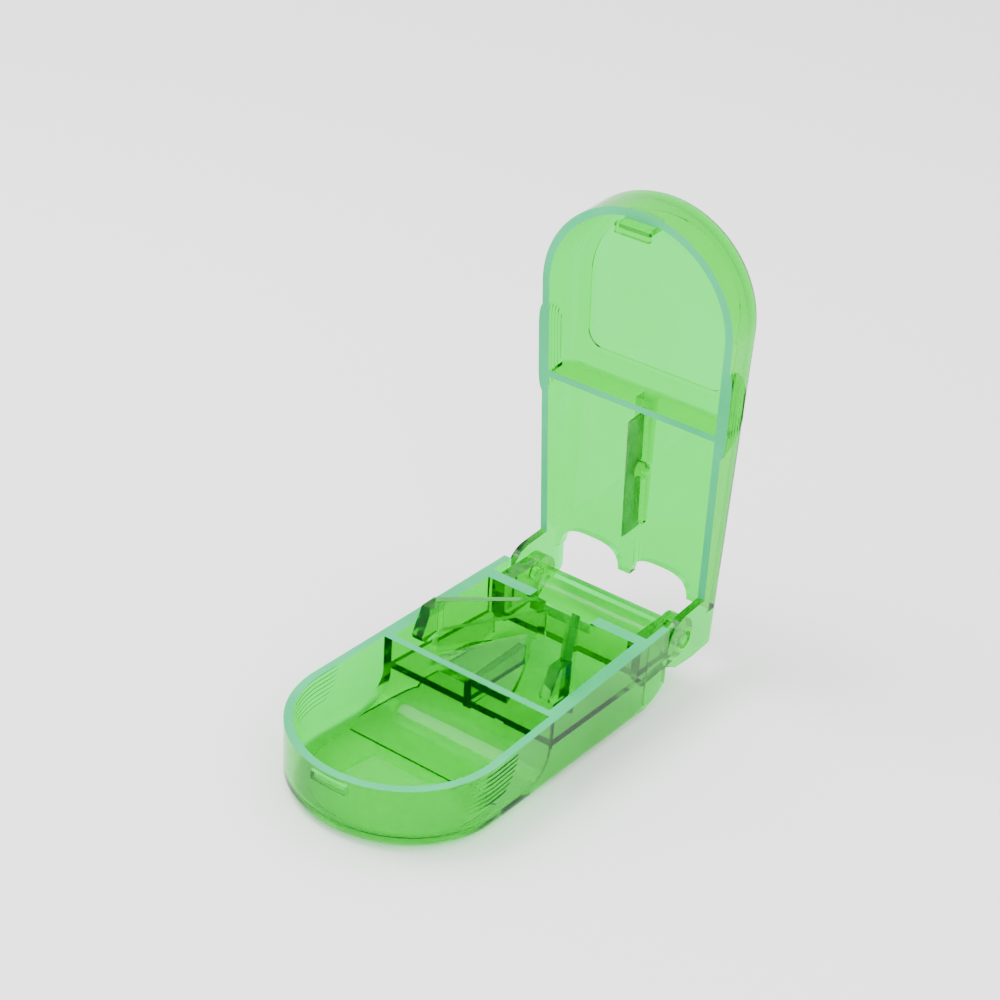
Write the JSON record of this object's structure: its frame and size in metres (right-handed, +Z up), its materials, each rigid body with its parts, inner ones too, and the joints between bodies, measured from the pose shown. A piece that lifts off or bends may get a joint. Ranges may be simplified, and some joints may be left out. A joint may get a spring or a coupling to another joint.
{
  "type": "pill splitter",
  "caption": "Clear green hinged pocket case that holds a tablet between two guides and splits it with a blade in the lid, with a storage well at the nose.",
  "frame": {"origin": "middle of the open case's footprint box, at the level of the underside of the base", "axes": "+Z up off the table, +X to the user's right, +Y from the rounded nose toward the hinge"},
  "size_m": [0.041, 0.0898, 0.0907],
  "materials": {
    "clear_green": "polished transparent green styrene",
    "blade_steel": "ground steel strip with a bright bevelled edge"
  },
  "bodies": {
    "base": {"base_tray": "clear_green", "pill_guide_left": "clear_green", "pill_guide_right": "clear_green", "hinge_pin_left": "clear_green", "hinge_pin_right": "clear_green"},
    "lid": {"lid_shell": "clear_green", "cutting_blade": "blade_steel", "blade_stake": "clear_green"}
  },
  "joints": [
    {"name": "lid_hinge", "type": "hinge", "parent": "base", "child": "lid", "pos_m": [0, 0.0336, 0.0113], "axis": [1, 0, 0], "range_deg": [0, 86.4]}
  ]
}
